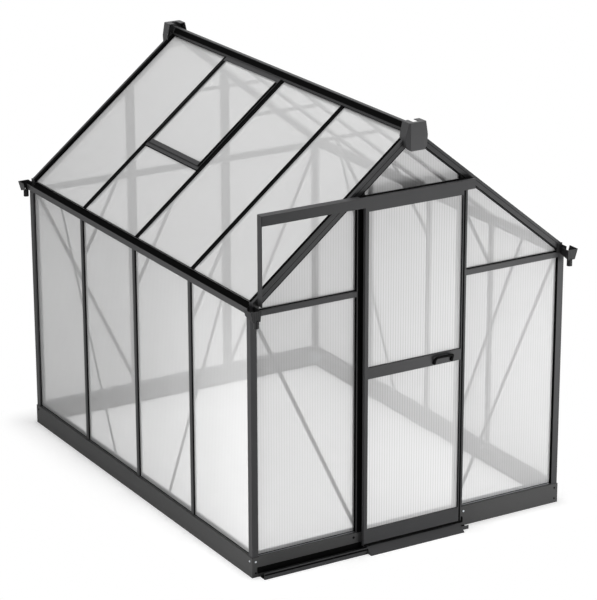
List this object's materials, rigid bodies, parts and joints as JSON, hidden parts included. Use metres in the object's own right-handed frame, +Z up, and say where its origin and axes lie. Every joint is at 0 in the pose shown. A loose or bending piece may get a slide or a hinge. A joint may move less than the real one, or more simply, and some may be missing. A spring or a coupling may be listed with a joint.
{
  "type": "polycarbonate greenhouse",
  "caption": "Gable-roofed hobby greenhouse: dark aluminium frame on a steel base, twin-wall clear sheets, gutters, roof vent and a sliding gable door.",
  "frame": {"origin": "on the ground, under the middle of the part's whole bounding box; the centre of the base itself is 8 mm further towards +Y, because the door track and its ramp reach out a little further than the gutter outlets at the back", "axes": "+X across the gable, to the right as one faces the door; +Y along the ridge, from the door gable to the back gable; +Z up"},
  "size_m": [1.959, 2.646, 2.2504],
  "materials": {
    "powder_coated_aluminium": "satin",
    "powder_coated_steel": "satin",
    "twin_wall_polycarbonate": "clear, finely ribbed",
    "grey_plastic": "satin",
    "zinc_plated_steel": "satin"
  },
  "bodies": {
    "house": {"base_front": "powder_coated_steel", "base_back": "powder_coated_steel", "base_left": "powder_coated_steel", "base_right": "powder_coated_steel", "base_brackets": "zinc_plated_steel", "corner_posts": "powder_coated_aluminium", "left_wall_bars": "powder_coated_aluminium", "right_wall_bars": "powder_coated_aluminium", "wall_sills": "powder_coated_aluminium", "left_gutter": "powder_coated_aluminium", "right_gutter": "powder_coated_aluminium", "gutter_outlets": "grey_plastic", "front_rafters": "powder_coated_aluminium", "back_rafters": "powder_coated_aluminium", "left_roof_bars": "powder_coated_aluminium", "right_roof_bars": "powder_coated_aluminium", "ridge": "powder_coated_aluminium", "front_ridge_cap": "grey_plastic", "back_ridge_cap": "grey_plastic", "collar_ties": "powder_coated_aluminium", "knee_braces": "powder_coated_aluminium", "wall_braces": "powder_coated_aluminium", "gable_braces": "powder_coated_aluminium", "door_jambs": "powder_coated_aluminium", "front_eave_bars": "powder_coated_aluminium", "door_header": "powder_coated_aluminium", "back_posts": "powder_coated_aluminium", "back_eave_bars": "powder_coated_aluminium", "left_wall_panes": "twin_wall_polycarbonate", "right_wall_panes": "twin_wall_polycarbonate", "front_panes": "twin_wall_polycarbonate", "back_panes": "twin_wall_polycarbonate", "left_roof_panes": "twin_wall_polycarbonate", "right_roof_panes": "twin_wall_polycarbonate", "vent_frame": "powder_coated_aluminium", "vent_pane": "twin_wall_polycarbonate", "vent_sill": "powder_coated_aluminium", "vent_stay": "powder_coated_aluminium", "door_rail": "powder_coated_aluminium", "rail_strut": "powder_coated_aluminium", "bottom_track": "powder_coated_aluminium", "threshold": "powder_coated_aluminium"},
    "door": {"door_frame": "powder_coated_aluminium", "door_panes": "twin_wall_polycarbonate", "door_handle": "grey_plastic", "door_rollers": "zinc_plated_steel"}
  },
  "joints": [
    {"name": "door_slide", "type": "slide", "parent": "house", "child": "door", "axis": [-1, 0, 0], "range_m": [0, 0.575]}
  ]
}
